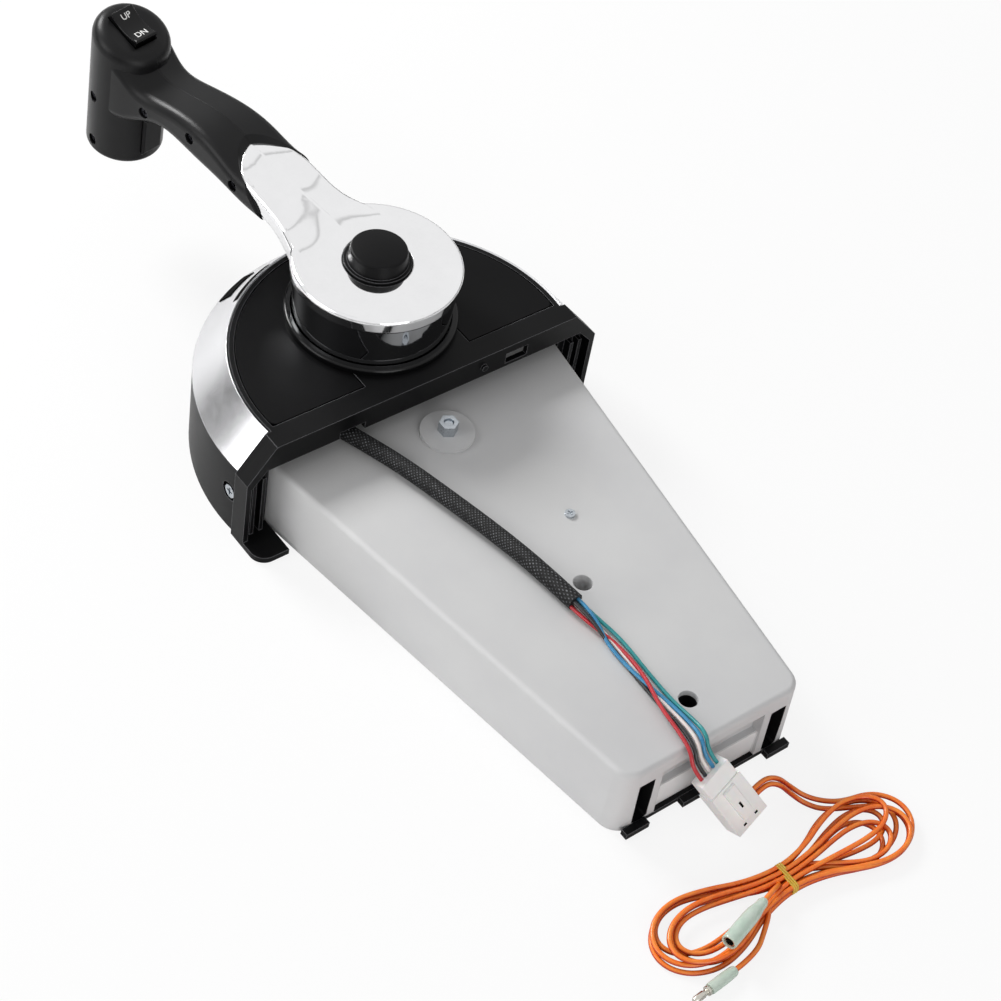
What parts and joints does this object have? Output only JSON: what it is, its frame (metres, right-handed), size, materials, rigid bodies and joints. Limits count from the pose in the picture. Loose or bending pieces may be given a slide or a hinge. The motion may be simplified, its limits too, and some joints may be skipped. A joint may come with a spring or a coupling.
{
  "type": "boat throttle control lever",
  "caption": "Side-mount boat engine control lying on its back: tapered grey housing, half-round black bezel, chrome lever with upright grip, cable harness with plug and coiled leads.",
  "frame": {"origin": "where the lever's turning axis meets the housing's back face, on which the control lies", "axes": "+Z along the lever's shaft, out of the face; +X along the tapered housing to its narrow end; +Y completes the right-handed set"},
  "size_m": [0.5042, 0.188, 0.1217],
  "materials": {
    "housing_paint": "satin",
    "black_plastic": "satin",
    "grip_plastic": "fine grain",
    "chrome_plate": "polished",
    "dark_skirt": "gloss",
    "insert_black": "gloss",
    "zinc_steel": "zinc plated",
    "painted_washer": "satin",
    "bush_brass": "machined",
    "bellows_rubber": "matt",
    "sleeve_braid": "braided",
    "red_wire": "smooth",
    "black_wire": "smooth",
    "white_wire": "smooth",
    "blue_wire": "smooth",
    "green_wire": "smooth",
    "plug_nylon": "natural nylon",
    "orange_lead": "smooth",
    "tie_band": "plain",
    "bullet_sleeve": "translucent"
  },
  "bodies": {
    "control": {"control_housing": "housing_paint", "shaft_tower": "housing_paint", "back_plate": "black_plastic", "back_plate_screws": "zinc_steel", "bezel_cover": "black_plastic", "face_plate": "black_plastic", "trim_band": "chrome_plate", "band_insert": "insert_black", "hub_collar": "black_plastic", "upper_bush": "bush_brass", "lower_bush": "bush_brass", "shift_axle": "zinc_steel", "boss_washer": "painted_washer", "boss_nut": "zinc_steel", "detent_roller": "zinc_steel", "detent_leaf": "zinc_steel", "neutral_switch": "black_plastic", "friction_pad": "black_plastic", "friction_screw": "zinc_steel", "cable_anchor": "black_plastic", "bezel_screws": "zinc_steel", "face_screw": "zinc_steel", "harness_sleeve": "sleeve_braid", "wire_red": "red_wire", "wire_black": "black_wire", "wire_white": "white_wire", "wire_blue": "blue_wire", "wire_green": "green_wire", "upper_lead": "orange_lead", "lower_lead": "orange_lead", "female_tail": "orange_lead", "male_tail": "orange_lead", "trim_plug": "plug_nylon", "lead_hank": "orange_lead", "hank_tie": "tie_band", "female_bullet": "bullet_sleeve", "male_bullet": "bullet_sleeve"},
    "lever": {"lever_arm": "chrome_plate", "hub_skirt": "dark_skirt", "grip_near": "grip_plastic", "grip_far": "grip_plastic", "grip_screws": "zinc_steel", "rocker_pin": "zinc_steel", "switch_body": "black_plastic", "hub_screw": "zinc_steel", "button_bellows": "bellows_rubber", "lever_shaft": "zinc_steel", "throttle_crank": "zinc_steel", "crank_pin": "zinc_steel", "shift_pinion": "zinc_steel", "detent_plate": "zinc_steel"},
    "button": {"throttle_only_button": "grip_plastic"},
    "rocker": {"trim_rocker": "grip_plastic"},
    "trigger": {"neutral_trigger": "grip_plastic"},
    "sector": {"shift_sector": "zinc_steel", "sector_pin": "zinc_steel"}
  },
  "joints": [
    {"name": "lever_hinge", "type": "hinge", "parent": "control", "child": "lever", "pos_m": [0, 0, 0.05], "axis": [0, 0, 1], "range_deg": [-75, 75]},
    {"name": "sector_hinge", "type": "hinge", "parent": "control", "child": "sector", "pos_m": [0.062, 0, 0.018], "axis": [0, 0, 1], "range_deg": [-31, 31]},
    {"name": "button_slide", "type": "slide", "parent": "lever", "child": "button", "axis": [0, 0, -1], "range_m": [0, 0.004], "stiffness_N_per_m": 1500, "springref_m": -0.001, "deforming": ["button_bellows"]},
    {"name": "rocker_hinge", "type": "hinge", "parent": "lever", "child": "rocker", "pos_m": [-0.15562, -0.03025, 0.11313], "axis": [-0.1908, 0.9816, 0], "range_deg": [-7, 7], "stiffness_Nm_per_rad": 0.4},
    {"name": "trigger_slide", "type": "slide", "parent": "lever", "child": "trigger", "axis": [-0.9803, -0.1905, 0.0523], "range_m": [0, 0.004], "stiffness_N_per_m": 1200, "springref_m": -0.001}
  ],
  "couplings": [
    {"joint": "sector_hinge", "follows": "lever_hinge", "ratio": -0.40909}
  ]
}
